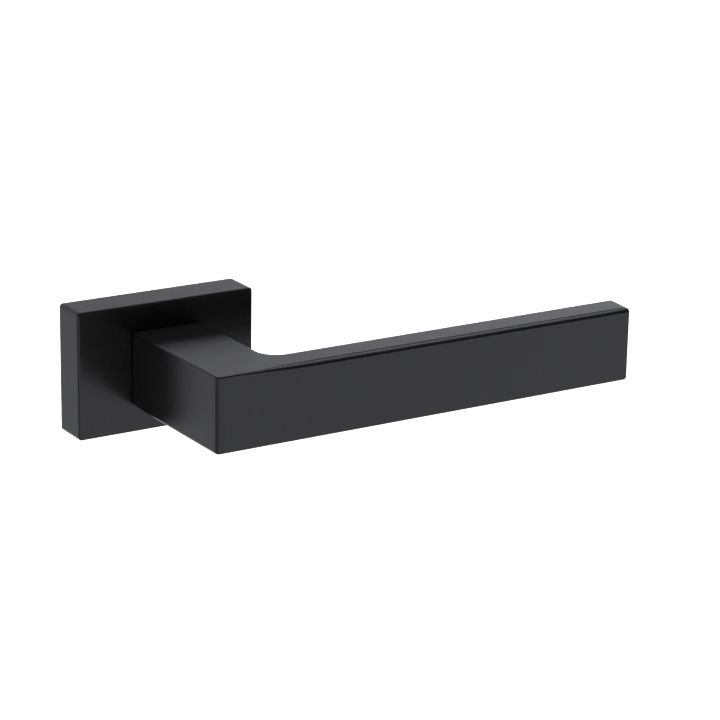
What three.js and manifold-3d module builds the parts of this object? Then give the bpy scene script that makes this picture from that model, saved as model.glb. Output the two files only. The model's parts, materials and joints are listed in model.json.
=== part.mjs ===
import * as THREE from "three";
import { mergeVertices } from "three/addons/utils/BufferGeometryUtils.js";
import Module from "manifold-3d";

// Door lever handle on a rectangular rose, in millimetres.
// The origin is on the spindle axis, in the plane of the door's face.
// +Y runs into the door, +X along the lever towards its free end, +Z up.

const wasm = await Module();
wasm.setup();

// ---- Driving dimensions ----
const ROSE_WIDTH = 53.5;
const ROSE_HEIGHT = 36;
const ROSE_DEPTH = 11;
const PROJECTION = 57.4; // from the door's face to the front of the blade
const LEVER_LENGTH = 132.7; // from the neck's left side to the free end
const LEVER_HEIGHT = 21.2;
const BLADE_THICKNESS = 9.6;
const NECK_WIDTH = 20.3; // where the neck meets the blade
const NECK_WIDTH_AT_ROSE = 21.3;
const INNER_RADIUS = 6; // inside corner between the neck and the blade
const SPINDLE_SIZE = 8; // side of the square bar
const FIXING_CENTRES = 38; // distance between the two fixing screws
const TURN_DEG = 45; // how far the lever turns down

// ---- Walls, gaps and edges ----
const COVER_WALL = 1.4;
const PLATE_WALL = 1.3;
const SIDE_GAP = 0.3; // between the cover and the mounting plate
const FACE_GAP = 0.1; // between flat pieces stacked along the axis
const SEAT_GAP = 0.05; // between a pressed-in piece and its seat
const RUNNING_GAP = 0.15; // radial gap of a turning fit
const NECK_GAP = 0.6; // between the rose's face and the end of the neck
const LEVER_EDGE = 0.8;
const NECK_END_CORNER = 0.9;
const NECK_FRONT_CORNER = 1.2;
const FREE_END_CORNER = 1.7;
const COVER_EDGE = 0.8;
const COVER_CORNER = 0.9;
const CAST_CORNER = 0.8; // outline corners of the mounting plate
const PAST = 1; // how far a cut, or a solid that is joined, runs past a face
const THROUGH = 60; // reach of a cut that takes everything beyond a face

// ---- Round parts around the axis ----
const ROUND_SEGMENTS = 48;
const SMALL_SEGMENTS = 20; // screws, pins and their holes
const CORNER_SEGMENTS = 2;
const ARC_SEGMENTS = 7;
const SHANK_RADIUS = 8.5; // bearing length of the lever's shank
const TAIL_RADIUS = 7.5; // the thinner tail that carries rotor and ring
const TAIL_FLAT = 6.65; // half the distance across the tail's flats
const GROOVE_RADIUS = 6.75;
const CHAMBER_RADIUS = 13.5; // spring chamber in the mounting plate
const CHAMBER_WALL = 1.7;
const RING_SLEEVE_RADIUS = 9.45;
const RING_FLANGE_RADIUS = 9.95;
const BUSH_SLEEVE_RADIUS = 9.6;
const BUSH_FLANGE_RADIUS = 10.9;
const BUSH_FLANGE = 0.45;
const HUB_RADIUS = 8.9; // hub of the spring rotor, inside the coil
const WIRE = 1.4;
const COIL_RADIUS = 10.7; // to the middle of the wire
const COIL_PITCH = 1.5;
const COIL_TURNS = 1.5;
const LEG_BEND_RADIUS = 12;
const FIXED_LEG_RADIUS = 14.6;
const LEG_BEND_DEG = 7; // taken by the bend between a leg and the coil
const SPRING_STEPS = 56;
const THRUST_RADIUS = 11.2;
const WAVE_RADIUS = 10.4;
const CIRCLIP_RADIUS = 9;
const CIRCLIP_OPENING = 2.2;
const EYE_RADIUS = 2; // the two eyes of the retaining ring
const EYE_HOLE_RADIUS = 0.8;
const EYE_X = 3;

// ---- Thicknesses along the axis ----
const PLATE_WEB = 1.2;
const ROTOR_DISC = 1;
const BACKING_SHEET = 0.7;
const WASHER_SHEET = 0.4;
const CIRCLIP_SHEET = 0.8;

// ---- Stations along the axis, front to back ----
const COVER_FRONT = -ROSE_DEPTH;
const COVER_BACK = COVER_FRONT + COVER_WALL;
const NECK_END = COVER_FRONT - NECK_GAP;
const BLADE_FRONT = -PROJECTION;
const BLADE_BACK = BLADE_FRONT + BLADE_THICKNESS;
const PLATE_FRONT = COVER_BACK + RUNNING_GAP;
const PLATE_WEB_BACK = PLATE_FRONT + PLATE_WEB;
const ROTOR_FRONT = PLATE_WEB_BACK + FACE_GAP;
const ROTOR_BACK = ROTOR_FRONT + ROTOR_DISC;
const SPRING_FRONT = ROTOR_BACK + FACE_GAP;
const SPRING_BACK = SPRING_FRONT + COIL_TURNS * COIL_PITCH + WIRE;
const BACKING_FRONT = SPRING_BACK + FACE_GAP;
const BACKING_BACK = BACKING_FRONT + BACKING_SHEET;
const THRUST_FRONT = BACKING_BACK + FACE_GAP;
const THRUST_BACK = THRUST_FRONT + WASHER_SHEET;
const WAVE_FRONT = THRUST_BACK + FACE_GAP;
const WAVE_BACK = WAVE_FRONT + WASHER_SHEET;
const CIRCLIP_FRONT = WAVE_BACK + FACE_GAP;
const CIRCLIP_BACK = CIRCLIP_FRONT + CIRCLIP_SHEET;
const SPINDLE_FRONT = -40;
const SPINDLE_BACK = 34;

// ---- Spindle and grub screw ----
const SPINDLE_CORNER = 0.5;
const SPINDLE_CHAMFER = 0.4;
const GRUB_Y = -24;
const GRUB_RADIUS = 2.85;
const GRUB_RECESS = 0.4; // from the neck's underside up to the screw
const GRUB_SOCKET_RADIUS = 1.73; // to the corners of a 3 mm hexagon
const GRUB_SOCKET_DEPTH = 2.8;

// ---- Mounting plate and its fasteners ----
const PLATE_HALF_WIDTH = ROSE_WIDTH / 2 - COVER_WALL - SIDE_GAP;
const PLATE_HALF_HEIGHT = ROSE_HEIGHT / 2 - COVER_WALL - SIDE_GAP;
const FIXING_BOSS_RADIUS = 5;
const FIXING_HEAD_RADIUS = 3.8;
const FIXING_SHANK_RADIUS = 2;
const FIXING_LENGTH = 20;
const FIXING_POINT = 3.2; // length of the screw's cone
const FIXING_CLEARANCE = 0.3; // round the screw in its hole
const HEAD_LAND = 0.3; // straight rim of a countersunk head
const PILOT_X = 14; // the four small screws of the backing plate
const PILOT_Z = 12.2;
const PILOT_RADIUS = 1;
const PILOT_BOSS_RADIUS = 2.6;
const PILOT_HEAD_RADIUS = 1.9;
const PILOT_HEAD_HEIGHT = 0.9;
const PILOT_END = PLATE_WEB_BACK + PAST;
const BACKING_HALF_WIDTH = 16.8;
const BACKING_HALF_HEIGHT = 14.5;
const BACKING_CORNER = 2.4;
const ARC_SLOT_INNER = 9.6; // the two curved slots of the backing plate
const ARC_SLOT_OUTER = 12;
const ARC_SLOT_HALF_ANGLE = 38;
const CLIP_HALF_HEIGHT = 5.5;
const CLIP_SHEET = 0.35;
const CLIP_POCKET = 0.7;
const CLIP_CLEARANCE = 0.4;
const CLIP_FRONT = -7.4;
const CLIP_BACK = -1.6;

// ---- Angles round the axis, from +X towards +Z ----
const LUG_HALF_ANGLE = 9; // stop lugs at the top and bottom of the rotor
const LUG_ROOT_RADIUS = 12;
const LUG_RADIUS = 14.6;
const STOP_CLEARANCE = 0.5;
const MOVING_LEG_ANGLE = 110;
const FIXED_LEG_ANGLE = MOVING_LEG_ANGLE + COIL_TURNS * 360;
const SLOT_HALF_ANGLE = 4;
const SLOT_RADIUS = 17;
const TAB_START = MOVING_LEG_ANGLE + 4.5;
const TAB_END = TAB_START + 15;
const TAB_INNER_RADIUS = 11.9;
const TAB_OUTER_RADIUS = 13.1;

// ---- Materials ----
function finish(color, roughness, metalness) {
  return new THREE.MeshStandardMaterial({ color, roughness, metalness });
}

const blackCoat = finish(0x1f2022, 0.42, 0.3);
const castZinc = finish(0x8f9295, 0.5, 0.8);
const platedSteel = finish(0xb9bcc0, 0.35, 0.9);
const springSteel = finish(0x4a4b4e, 0.4, 0.85);
const blackNylon = finish(0x18181a, 0.6, 0);
const whiteAcetal = finish(0xe6e4dc, 0.5, 0);

// ---- Solids ----
const MERGE_DISTANCE = 1e-4;

// The closed solid of a geometry, with its shared corners merged and its empty triangles dropped.
function solid(geometry) {
  const bare = geometry.index ? geometry.toNonIndexed() : geometry.clone();
  bare.deleteAttribute("normal");
  bare.deleteAttribute("uv");
  const merged = mergeVertices(bare, MERGE_DISTANCE);
  const corners = merged.index.array;
  const kept = [];
  for (let i = 0; i < corners.length; i += 3) {
    const [a, b, c] = corners.subarray(i, i + 3);
    if (a !== b && b !== c && c !== a) kept.push(a, b, c);
  }
  const vertProperties = merged.attributes.position.array;
  const triVerts = new Uint32Array(kept);
  return new wasm.Manifold(new wasm.Mesh({ numProp: 3, vertProperties, triVerts }));
}

function geometryOf(manifold) {
  const { vertProperties, triVerts } = manifold.getMesh();
  const geometry = new THREE.BufferGeometry();
  geometry.setAttribute("position", new THREE.BufferAttribute(vertProperties, 3));
  geometry.setIndex(new THREE.BufferAttribute(triVerts, 1));
  const flat = geometry.toNonIndexed();
  flat.computeVertexNormals();
  return flat;
}

// A box between two opposite corners.
function block([x0, y0, z0], [x1, y1, z1]) {
  const box = new THREE.BoxGeometry(x1 - x0, y1 - y0, z1 - z0);
  return solid(box.translate((x0 + x1) / 2, (y0 + y1) / 2, (z0 + z1) / 2));
}

// A closed profile of [radius, y] points turned about the Y axis.
function turned(profile, segments = ROUND_SEGMENTS) {
  const points = profile.map(([r, y]) => new THREE.Vector2(r, y));
  if (THREE.ShapeUtils.area(points) < 0) points.reverse();
  points.push(points[0].clone());
  return solid(new THREE.LatheGeometry(points, segments));
}

function ring(inner, outer, y0, y1) {
  return turned([[inner, y0], [outer, y0], [outer, y1], [inner, y1]]);
}

function disc(radius, y0, y1) {
  return turned([[0, y0], [radius, y0], [radius, y1], [0, y1]]);
}

// An outline in the XZ plane, given thickness along Y.
function slab(shape, y0, y1, { edge = 0, curveSegments = CORNER_SEGMENTS } = {}) {
  const geometry = new THREE.ExtrudeGeometry(shape, {
    depth: y1 - y0 - 2 * edge,
    curveSegments,
    bevelEnabled: edge > 0,
    bevelThickness: edge,
    bevelSize: edge,
    bevelOffset: -edge,
    bevelSegments: 2,
  });
  return solid(geometry.rotateX(Math.PI / 2).translate(0, y1 - edge, 0));
}

// A closed outline through corners of [x, y, radius], each rounded by an arc.
function roundedOutline(corners) {
  const shape = new THREE.Shape();
  const count = corners.length;
  corners.forEach(([x, y, radius], i) => {
    const [px, py] = corners[(i + count - 1) % count];
    const [nx, ny] = corners[(i + 1) % count];
    const corner = new THREE.Vector2(x, y);
    const back = new THREE.Vector2(px, py).sub(corner).normalize();
    const ahead = new THREE.Vector2(nx, ny).sub(corner).normalize();
    const half = Math.acos(back.dot(ahead)) / 2;
    const start = corner.clone().addScaledVector(back, radius / Math.tan(half));
    const end = corner.clone().addScaledVector(ahead, radius / Math.tan(half));
    const middle = back.clone().add(ahead).normalize();
    const centre = corner.clone().addScaledVector(middle, radius / Math.sin(half));
    const from = start.clone().sub(centre).angle();
    const to = end.clone().sub(centre).angle();
    if (i === 0) shape.moveTo(start.x, start.y);
    else shape.lineTo(start.x, start.y);
    shape.absarc(centre.x, centre.y, radius, from, to, back.cross(ahead) > 0);
  });
  return shape;
}

function rectangle(halfWidth, halfHeight, radius) {
  const signs = [[-1, -1], [1, -1], [1, 1], [-1, 1]];
  return roundedOutline(signs.map(([sx, sz]) => [sx * halfWidth, sz * halfHeight, radius]));
}

// Part of a thick ring between two angles, in degrees, with thickness along Y.
function sector(inner, outer, fromDeg, toDeg, y0, y1) {
  const from = THREE.MathUtils.degToRad(fromDeg);
  const to = THREE.MathUtils.degToRad(toDeg);
  const shape = new THREE.Shape();
  shape.absarc(0, 0, outer, from, to, false);
  shape.absarc(0, 0, inner, to, from, true);
  shape.closePath();
  return slab(shape, y0, y1, { curveSegments: ARC_SEGMENTS });
}

// The point at a radius and an angle in degrees, at one station of the axis.
function polar(radius, degrees, y) {
  const angle = THREE.MathUtils.degToRad(degrees);
  return new THREE.Vector3(radius * Math.cos(angle), y, radius * Math.sin(angle));
}

// ---- The lever and what turns with it ----
function lever() {
  const left = -NECK_WIDTH / 2;
  const right = NECK_WIDTH / 2;
  const atRose = NECK_WIDTH_AT_ROSE / 2;
  const freeEnd = left + LEVER_LENGTH;
  const outline = roundedOutline([
    [-atRose, NECK_END, NECK_END_CORNER],
    [left, BLADE_FRONT, NECK_FRONT_CORNER],
    [freeEnd, BLADE_FRONT, FREE_END_CORNER],
    [freeEnd, BLADE_BACK, FREE_END_CORNER],
    [right, BLADE_BACK, INNER_RADIUS],
    [atRose, NECK_END, NECK_END_CORNER],
  ]);
  const grip = solid(
    new THREE.ExtrudeGeometry(outline, {
      depth: LEVER_HEIGHT - 2 * LEVER_EDGE,
      curveSegments: 4,
      bevelThickness: LEVER_EDGE,
      bevelSize: LEVER_EDGE,
      bevelOffset: -LEVER_EDGE,
      bevelSegments: 3,
    }).translate(0, 0, LEVER_EDGE - LEVER_HEIGHT / 2),
  );
  const shank = disc(SHANK_RADIUS, NECK_END - PAST, PLATE_WEB_BACK);
  const groove = ring(GROOVE_RADIUS, TAIL_RADIUS + PAST, CIRCLIP_FRONT - FACE_GAP, CIRCLIP_BACK + FACE_GAP);
  const roundTail = disc(TAIL_RADIUS, PLATE_WEB_BACK - PAST, 0);
  const tail = roundTail.subtract(tailFlats(TAIL_FLAT)).subtract(groove);
  const hole = SPINDLE_SIZE / 2 + FACE_GAP;
  const squareHole = block([-hole, SPINDLE_FRONT - PAST, -hole], [hole, PAST, hole]);
  const grubHole = upright(GRUB_RADIUS + RUNNING_GAP, GRUB_Y, -LEVER_HEIGHT, 0);
  return grip.add(shank).add(tail).subtract(squareHole).subtract(grubHole);
}

// The two slabs that lie outside the tail's flats.
function tailFlats(half) {
  const reach = CHAMBER_RADIUS;
  const above = block([-reach, PLATE_WEB_BACK, half], [reach, PAST, reach]);
  const below = block([-reach, PLATE_WEB_BACK, -reach], [reach, PAST, -half]);
  return above.add(below);
}

// A round bar that stands along Z on the neck's middle line.
function upright(radius, y, z0, z1, sides = SMALL_SEGMENTS) {
  const bar = new THREE.CylinderGeometry(radius, radius, z1 - z0, sides);
  return solid(bar.rotateX(Math.PI / 2).translate(0, y, (z0 + z1) / 2));
}

function spindle() {
  const half = SPINDLE_SIZE / 2;
  return slab(rectangle(half, half, SPINDLE_CORNER), SPINDLE_FRONT, SPINDLE_BACK, { edge: SPINDLE_CHAMFER });
}

function grubScrew() {
  const bottom = GRUB_RECESS - LEVER_HEIGHT / 2;
  const top = -SPINDLE_SIZE / 2 - FACE_GAP;
  const socket = upright(GRUB_SOCKET_RADIUS, GRUB_Y, bottom - PAST, bottom + GRUB_SOCKET_DEPTH, 6);
  return upright(GRUB_RADIUS, GRUB_Y, bottom, top).subtract(socket);
}

// Turns with the shank, winds the spring and meets the stops.
function springRotor() {
  const hubBack = BACKING_FRONT - FACE_GAP;
  const bore = disc(TAIL_RADIUS + FACE_GAP, ROTOR_FRONT - PAST, 0).subtract(tailFlats(TAIL_FLAT + FACE_GAP));
  const tabBack = hubBack - 2 * FACE_GAP;
  const tab = sector(TAB_INNER_RADIUS, TAB_OUTER_RADIUS, TAB_START, TAB_END, ROTOR_FRONT, tabBack);
  let rotor = disc(CHAMBER_RADIUS - SIDE_GAP, ROTOR_FRONT, ROTOR_BACK);
  rotor = rotor.add(disc(HUB_RADIUS, ROTOR_FRONT, hubBack)).add(tab);
  for (const middle of [90, 270]) {
    const from = middle - LUG_HALF_ANGLE;
    const to = middle + LUG_HALF_ANGLE;
    rotor = rotor.add(sector(LUG_ROOT_RADIUS, LUG_RADIUS, from, to, ROTOR_FRONT, ROTOR_BACK));
  }
  return rotor.subtract(bore);
}

function thrustWasher() {
  return ring(TAIL_RADIUS + RUNNING_GAP, THRUST_RADIUS, THRUST_FRONT, THRUST_BACK);
}

function waveWasher() {
  return ring(TAIL_RADIUS + RUNNING_GAP, WAVE_RADIUS, WAVE_FRONT, WAVE_BACK);
}

// Open ring with two eyes for pliers, its gap at the top.
function retainingRing() {
  const bore = GROOVE_RADIUS + FACE_GAP;
  const half = CIRCLIP_OPENING / 2;
  const front = CIRCLIP_FRONT - PAST;
  const back = CIRCLIP_BACK + PAST;
  let clip = disc(CIRCLIP_RADIUS, CIRCLIP_FRONT, CIRCLIP_BACK);
  for (const x of [-EYE_X, EYE_X]) {
    clip = clip.add(pillar(EYE_RADIUS, x, CIRCLIP_RADIUS, CIRCLIP_FRONT, CIRCLIP_BACK));
    clip = clip.subtract(pillar(EYE_HOLE_RADIUS, x, CIRCLIP_RADIUS, front, back));
  }
  return clip.subtract(block([-half, front, 0], [half, back, THROUGH])).subtract(disc(bore, front, back));
}

// A round bar along Y that stands off the axis.
function pillar(radius, x, z, y0, y1) {
  const bar = new THREE.CylinderGeometry(radius, radius, y1 - y0, SMALL_SEGMENTS);
  return solid(bar.translate(x, (y0 + y1) / 2, z));
}

// ---- The rose ----
function roseCover() {
  const halfWidth = ROSE_WIDTH / 2;
  const halfHeight = ROSE_HEIGHT / 2;
  const rawBack = COVER_EDGE + PAST; // the block's back edges lie behind the door's face and are cut off
  const outline = rectangle(halfWidth, halfHeight, COVER_CORNER);
  const outside = slab(outline, COVER_FRONT, rawBack, { edge: COVER_EDGE });
  const inner = rectangle(halfWidth - COVER_WALL, halfHeight - COVER_WALL, COVER_CORNER / 2);
  const inside = slab(inner, COVER_BACK, rawBack + PAST);
  const behindDoorFace = block([-THROUGH, 0, -THROUGH], [THROUGH, THROUGH, THROUGH]);
  const hole = disc(RING_SLEEVE_RADIUS + SEAT_GAP, COVER_FRONT - PAST, COVER_BACK + PAST);
  return outside.subtract(inside).subtract(behindDoorFace).subtract(hole);
}

// Nylon ring that lines the cover's hole and keeps the neck off the coating.
function coverRing() {
  const bore = SHANK_RADIUS + RUNNING_GAP;
  const flangeFront = NECK_END + RUNNING_GAP;
  return turned([
    [bore, flangeFront],
    [RING_FLANGE_RADIUS, flangeFront],
    [RING_FLANGE_RADIUS, COVER_FRONT],
    [RING_SLEEVE_RADIUS, COVER_FRONT],
    [RING_SLEEVE_RADIUS, COVER_BACK],
    [bore, COVER_BACK],
  ]);
}

function mountingPlate() {
  const innerHalfWidth = PLATE_HALF_WIDTH - PLATE_WALL;
  const innerHalfHeight = PLATE_HALF_HEIGHT - PLATE_WALL;
  const tray = slab(rectangle(PLATE_HALF_WIDTH, PLATE_HALF_HEIGHT, CAST_CORNER), PLATE_FRONT, 0);
  const hollow = slab(rectangle(innerHalfWidth, innerHalfHeight, CAST_CORNER), PLATE_WEB_BACK, PAST);
  const chamberWall = ring(CHAMBER_RADIUS, CHAMBER_RADIUS + CHAMBER_WALL, PLATE_FRONT, BACKING_FRONT);
  let plate = tray.subtract(hollow);
  for (const side of [-1, 1]) {
    const x = (side * FIXING_CENTRES) / 2;
    plate = plate.add(pillar(FIXING_BOSS_RADIUS, x, 0, PLATE_FRONT, 0));
  }
  for (const [x, z] of pilotPlaces()) {
    plate = plate.add(pillar(PILOT_BOSS_RADIUS, x, z, PLATE_FRONT, BACKING_FRONT));
  }
  const chamber = disc(CHAMBER_RADIUS, PLATE_WEB_BACK, BACKING_FRONT + PAST);
  plate = plate.add(chamberWall).subtract(chamber).subtract(bushSeat());
  for (const side of [-1, 1]) plate = plate.subtract(fixingHole(side)).subtract(clipPocket(side));
  for (const [x, z] of pilotPlaces()) {
    plate = plate.subtract(pillar(PILOT_RADIUS, x, z, PILOT_END, PAST));
  }
  for (const middle of [90, 270]) plate = plate.subtract(stopWindow(middle));
  return plate.subtract(springSlot());
}

function pilotPlaces() {
  const signs = [[-1, 1], [1, 1], [1, -1], [-1, -1]];
  return signs.map(([sx, sz]) => [sx * PILOT_X, sz * PILOT_Z]);
}

function bushSeat() {
  const front = PLATE_FRONT - PAST;
  const flange = disc(BUSH_FLANGE_RADIUS + FACE_GAP, front, PLATE_FRONT + BUSH_FLANGE + SEAT_GAP);
  return flange.add(disc(BUSH_SLEEVE_RADIUS + FACE_GAP, front, PLATE_WEB_BACK + PAST));
}

// The window in the chamber wall whose two ends stop the rotor's lug.
function stopWindow(middle) {
  const from = middle - LUG_HALF_ANGLE - TURN_DEG - STOP_CLEARANCE;
  const to = middle + LUG_HALF_ANGLE + STOP_CLEARANCE;
  const outer = LUG_RADIUS + 2 * FACE_GAP;
  return sector(LUG_ROOT_RADIUS, outer, from, to, PLATE_WEB_BACK, ROTOR_BACK + FACE_GAP);
}

// The slot in the chamber wall that holds the spring's fixed leg.
function springSlot() {
  const from = FIXED_LEG_ANGLE - SLOT_HALF_ANGLE;
  const to = FIXED_LEG_ANGLE + SLOT_HALF_ANGLE;
  return sector(LUG_ROOT_RADIUS, SLOT_RADIUS, from, to, SPRING_BACK - WIRE - FACE_GAP, BACKING_FRONT + PAST);
}

// The front of a countersunk screw, from its axis to where the cone meets the shank.
function headProfile(radius, shank, y) {
  const land = y + HEAD_LAND;
  return [[0, y], [radius, y], [radius, land], [shank, land + radius - shank]];
}

function fixingHole(side) {
  const shank = FIXING_SHANK_RADIUS + FIXING_CLEARANCE;
  const head = headProfile(FIXING_HEAD_RADIUS + FIXING_CLEARANCE, shank, PLATE_FRONT - FACE_GAP);
  const hole = turned([...head, [shank, PAST], [0, PAST]], SMALL_SEGMENTS);
  return hole.translate([(side * FIXING_CENTRES) / 2, 0, 0]);
}

function clipPocket(side) {
  const face = side * (PLATE_HALF_WIDTH - CLIP_POCKET);
  const outside = side * (PLATE_HALF_WIDTH + PAST);
  const half = CLIP_HALF_HEIGHT + CLIP_CLEARANCE;
  return block(
    [Math.min(face, outside), CLIP_FRONT - CLIP_CLEARANCE, -half],
    [Math.max(face, outside), CLIP_BACK + CLIP_CLEARANCE, half],
  );
}

function hubBush() {
  const bore = SHANK_RADIUS + RUNNING_GAP;
  const front = PLATE_FRONT + SEAT_GAP;
  const flangeBack = front + BUSH_FLANGE - SEAT_GAP;
  return turned([
    [bore, front],
    [BUSH_FLANGE_RADIUS, front],
    [BUSH_FLANGE_RADIUS, flangeBack],
    [BUSH_SLEEVE_RADIUS, flangeBack],
    [BUSH_SLEEVE_RADIUS, PLATE_WEB_BACK],
    [bore, PLATE_WEB_BACK],
  ]);
}

// Torsion spring: its front leg rests on the rotor's tab, its back leg in the plate's slot.
function returnSpring() {
  const front = SPRING_FRONT + WIRE / 2;
  const back = SPRING_BACK - WIRE / 2;
  const route = [TAB_OUTER_RADIUS, LEG_BEND_RADIUS].map((radius) => polar(radius, MOVING_LEG_ANGLE, front));
  for (let i = 0; i <= ROUND_SEGMENTS; i += 1) {
    const t = i / ROUND_SEGMENTS;
    const angle = THREE.MathUtils.lerp(MOVING_LEG_ANGLE + LEG_BEND_DEG, FIXED_LEG_ANGLE - LEG_BEND_DEG, t);
    route.push(polar(COIL_RADIUS, angle, THREE.MathUtils.lerp(front, back, t)));
  }
  route.push(polar(LEG_BEND_RADIUS, FIXED_LEG_ANGLE, back), polar(FIXED_LEG_RADIUS, FIXED_LEG_ANGLE, back));
  const section = new THREE.Shape().absarc(0, 0, WIRE / 2, 0, 2 * Math.PI, false);
  const extrudePath = new THREE.CatmullRomCurve3(route);
  return solid(new THREE.ExtrudeGeometry(section, { steps: SPRING_STEPS, curveSegments: 4, extrudePath }));
}

function backingPlate() {
  const outline = rectangle(BACKING_HALF_WIDTH, BACKING_HALF_HEIGHT, BACKING_CORNER);
  const front = BACKING_FRONT - PAST;
  const back = BACKING_BACK + PAST;
  let plate = slab(outline, BACKING_FRONT, BACKING_BACK);
  plate = plate.subtract(disc(TAIL_RADIUS + RUNNING_GAP, front, back));
  for (const side of [-1, 1]) {
    const x = (side * FIXING_CENTRES) / 2;
    plate = plate.subtract(pillar(FIXING_BOSS_RADIUS + SIDE_GAP, x, 0, front, back));
    const middle = side > 0 ? 0 : 180;
    const from = middle - ARC_SLOT_HALF_ANGLE;
    const to = middle + ARC_SLOT_HALF_ANGLE;
    plate = plate.subtract(sector(ARC_SLOT_INNER, ARC_SLOT_OUTER, from, to, front, back));
  }
  for (const [x, z] of pilotPlaces()) {
    plate = plate.subtract(pillar(PILOT_RADIUS + 2 * FACE_GAP, x, z, front, back));
  }
  return plate;
}

function backingScrew([x, z]) {
  const top = BACKING_BACK + PILOT_HEAD_HEIGHT;
  const end = PILOT_END + 2 * FACE_GAP;
  const shank = PILOT_RADIUS - FACE_GAP;
  const head = [[0, top], [PILOT_HEAD_RADIUS, top], [PILOT_HEAD_RADIUS, BACKING_BACK]];
  const profile = [...head, [shank, BACKING_BACK], [shank, end], [0, end]];
  return turned(profile, SMALL_SEGMENTS).translate([x, 0, z]);
}

function fixingScrew(side) {
  const top = PLATE_FRONT + FACE_GAP;
  const tip = top + FIXING_LENGTH;
  const head = headProfile(FIXING_HEAD_RADIUS, FIXING_SHANK_RADIUS, top);
  const screw = turned([...head, [FIXING_SHANK_RADIUS, tip - FIXING_POINT], [0, tip]], SMALL_SEGMENTS);
  return screw.translate([(side * FIXING_CENTRES) / 2, 0, 0]);
}

// Bowed leaf of spring steel that holds the cover on the plate.
function coverClip(side) {
  const seat = PLATE_HALF_WIDTH - CLIP_POCKET + FACE_GAP;
  const crest = PLATE_HALF_WIDTH + SIDE_GAP - CLIP_SHEET - FACE_GAP;
  const middle = (CLIP_FRONT + CLIP_BACK) / 2;
  const bow = new THREE.Shape();
  bow.moveTo(seat, CLIP_FRONT);
  bow.quadraticCurveTo(2 * crest - seat, middle, seat, CLIP_BACK);
  bow.lineTo(seat + CLIP_SHEET, CLIP_BACK);
  bow.quadraticCurveTo(2 * crest - seat + CLIP_SHEET, middle, seat + CLIP_SHEET, CLIP_FRONT);
  bow.closePath();
  const depth = 2 * CLIP_HALF_HEIGHT;
  const leaf = new THREE.ExtrudeGeometry(bow, { depth, curveSegments: 12, bevelEnabled: false });
  leaf.translate(0, 0, -CLIP_HALF_HEIGHT);
  return side > 0 ? solid(leaf) : solid(leaf).mirror([1, 0, 0]);
}

// ---- The assembly ----
const handle = new THREE.Group();

function place(name, manifold, material) {
  const mesh = new THREE.Mesh(geometryOf(manifold), material);
  mesh.name = name;
  handle.add(mesh);
}

place("lever", lever(), blackCoat);
place("spindle", spindle(), platedSteel);
place("grub_screw", grubScrew(), springSteel);
place("spring_rotor", springRotor(), castZinc);
place("thrust_washer", thrustWasher(), whiteAcetal);
place("wave_washer", waveWasher(), springSteel);
place("retaining_ring", retainingRing(), springSteel);

place("rose_cover", roseCover(), blackCoat);
place("cover_ring", coverRing(), blackNylon);
place("mounting_plate", mountingPlate(), castZinc);
place("hub_bush", hubBush(), whiteAcetal);
place("return_spring", returnSpring(), springSteel);
place("backing_plate", backingPlate(), platedSteel);
pilotPlaces().forEach((spot, i) => {
  place(`backing_screw_${i + 1}`, backingScrew(spot), platedSteel);
});
for (const [name, side] of [["left", -1], ["right", 1]]) {
  place(`fixing_screw_${name}`, fixingScrew(side), platedSteel);
  place(`cover_clip_${name}`, coverClip(side), springSteel);
}

export default handle;
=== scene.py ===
"""Door lever handle on a rectangular rose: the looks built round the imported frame."""
import json
import math

import bmesh
import bpy
from mathutils import Matrix, Vector


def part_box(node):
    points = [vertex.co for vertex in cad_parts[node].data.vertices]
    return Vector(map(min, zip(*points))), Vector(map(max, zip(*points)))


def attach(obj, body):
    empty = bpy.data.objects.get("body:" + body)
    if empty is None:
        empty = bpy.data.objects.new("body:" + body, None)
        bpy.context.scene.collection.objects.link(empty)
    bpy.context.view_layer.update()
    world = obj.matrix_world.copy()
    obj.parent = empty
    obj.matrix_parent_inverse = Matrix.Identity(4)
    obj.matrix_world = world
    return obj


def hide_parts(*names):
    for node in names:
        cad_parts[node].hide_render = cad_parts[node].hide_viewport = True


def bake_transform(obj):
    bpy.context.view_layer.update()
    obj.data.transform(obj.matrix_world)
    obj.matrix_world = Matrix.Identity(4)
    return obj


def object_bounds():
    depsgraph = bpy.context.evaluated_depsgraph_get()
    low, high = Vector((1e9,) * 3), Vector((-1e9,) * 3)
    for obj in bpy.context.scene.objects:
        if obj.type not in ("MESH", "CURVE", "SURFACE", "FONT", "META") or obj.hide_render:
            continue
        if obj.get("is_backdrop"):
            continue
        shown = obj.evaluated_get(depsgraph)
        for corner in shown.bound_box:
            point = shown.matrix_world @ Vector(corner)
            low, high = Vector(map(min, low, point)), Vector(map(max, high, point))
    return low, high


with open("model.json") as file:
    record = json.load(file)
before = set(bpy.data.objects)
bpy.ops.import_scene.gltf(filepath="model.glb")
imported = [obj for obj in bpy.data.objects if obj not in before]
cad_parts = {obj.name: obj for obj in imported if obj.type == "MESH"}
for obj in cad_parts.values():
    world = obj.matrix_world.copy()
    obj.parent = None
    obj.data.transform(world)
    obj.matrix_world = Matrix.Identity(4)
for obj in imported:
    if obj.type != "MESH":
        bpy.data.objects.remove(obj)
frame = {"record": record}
cad_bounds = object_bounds()

MM = 0.001  # shapes are worked out in millimetres and stored in metres
MICRON = 0.001 * MM
SAME_PLACE = 0.1 * MICRON  # corners closer than this are one
ROUND_STEPS = 96  # sides of a large round
HOLE_STEPS = 24  # sides of a small screw's hole
SHARP = 0.01  # the rounding of a rim that reads as sharp
PAST = 1  # how far a cut runs past a face
SINK = 0.1  # how far a boss starts inside the face that it stands on
POLE = 0.002  # the smallest ring, where a turned profile meets its axis
CREASE = 50  # degrees between faces from which an edge stays sharp, on rounded pieces
CUT_CREASE = 35  # on pieces with many cuts
SCREW_CREASE = 40
WIRE_CREASE = 80


def box_mm(node):
    low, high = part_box(node)
    return low / MM, high / MM


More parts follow.
